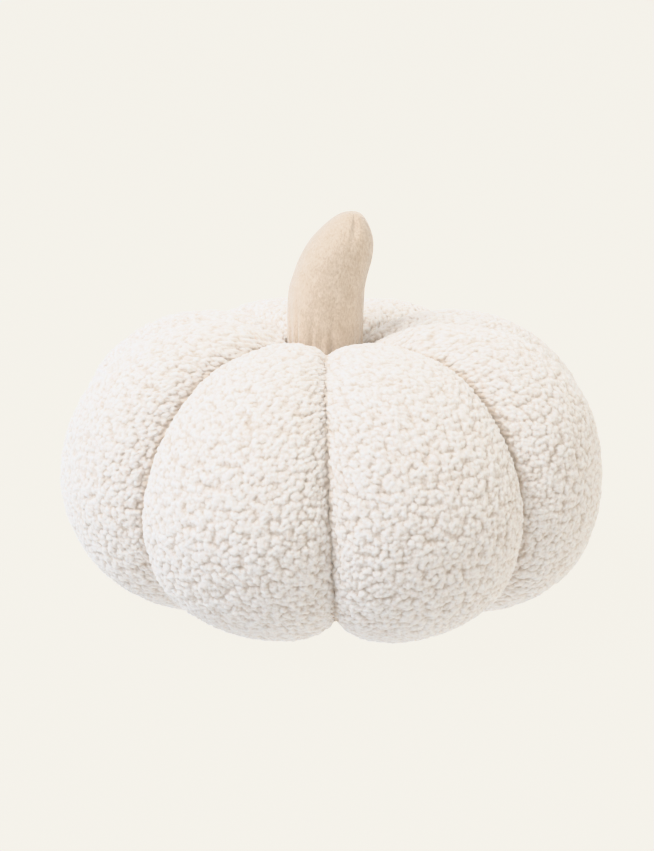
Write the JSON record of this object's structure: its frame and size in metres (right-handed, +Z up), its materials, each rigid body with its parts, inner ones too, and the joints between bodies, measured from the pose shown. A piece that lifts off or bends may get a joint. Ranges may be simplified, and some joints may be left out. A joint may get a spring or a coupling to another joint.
{
  "type": "pumpkin-shaped decorative cushion",
  "caption": "Round filled cushion in the shape of a pumpkin, with plump sewn segments drawn in at their seams and a stuffed, curved fabric stem on top.",
  "frame": {"origin": "centre of the bounding box in plan, on the surface that the cushion rests on", "axes": "+Z up through the stem, the front seam faces -Y, and the stem's tip leans towards +X"},
  "size_m": [0.298, 0.2904, 0.2157],
  "materials": {
    "cream_boucle": "curly looped pile, matte",
    "beige_felt": "brushed nap, matte"
  },
  "bodies": {
    "root": {"body": "cream_boucle", "stem": "beige_felt"}
  },
  "joints": []
}
